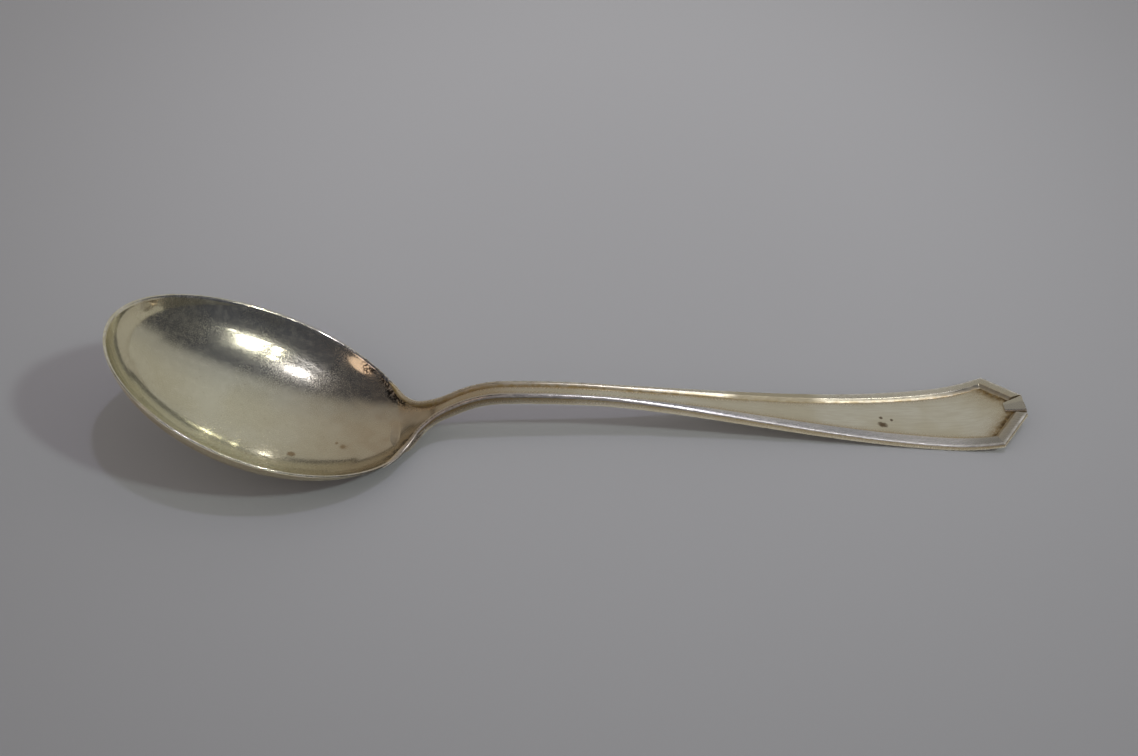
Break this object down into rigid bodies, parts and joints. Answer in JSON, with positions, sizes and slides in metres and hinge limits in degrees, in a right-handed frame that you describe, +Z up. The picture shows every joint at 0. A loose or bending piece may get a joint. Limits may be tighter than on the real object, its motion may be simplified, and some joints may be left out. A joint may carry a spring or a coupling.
{
  "type": "soup spoon",
  "caption": "Silver soup spoon with a deep oval bowl, an arched neck and a flat handle edged with raised threads, ending in a pointed gable.",
  "frame": {"origin": "on the table that the spoon lies on, under the middle of its length and width", "axes": "+X from the bowl towards the end of the handle, +Z up, out of the bowl's mouth"},
  "size_m": [0.178, 0.044, 0.0301],
  "materials": {
    "bowl_silver": "worn polished silver with fine scratches and warm tarnish",
    "handle_silver": "worn polished silver, satin on the panel, with brown tarnish in its corners",
    "moulding_silver": "polished silver, bright along the raised edges and dark in the grooves"
  },
  "bodies": {
    "root": {"bowl": "bowl_silver", "handle": "handle_silver", "left_edge_thread": "moulding_silver", "right_edge_thread": "moulding_silver", "left_end_moulding": "moulding_silver", "right_end_moulding": "moulding_silver", "keystone": "moulding_silver"}
  },
  "joints": []
}
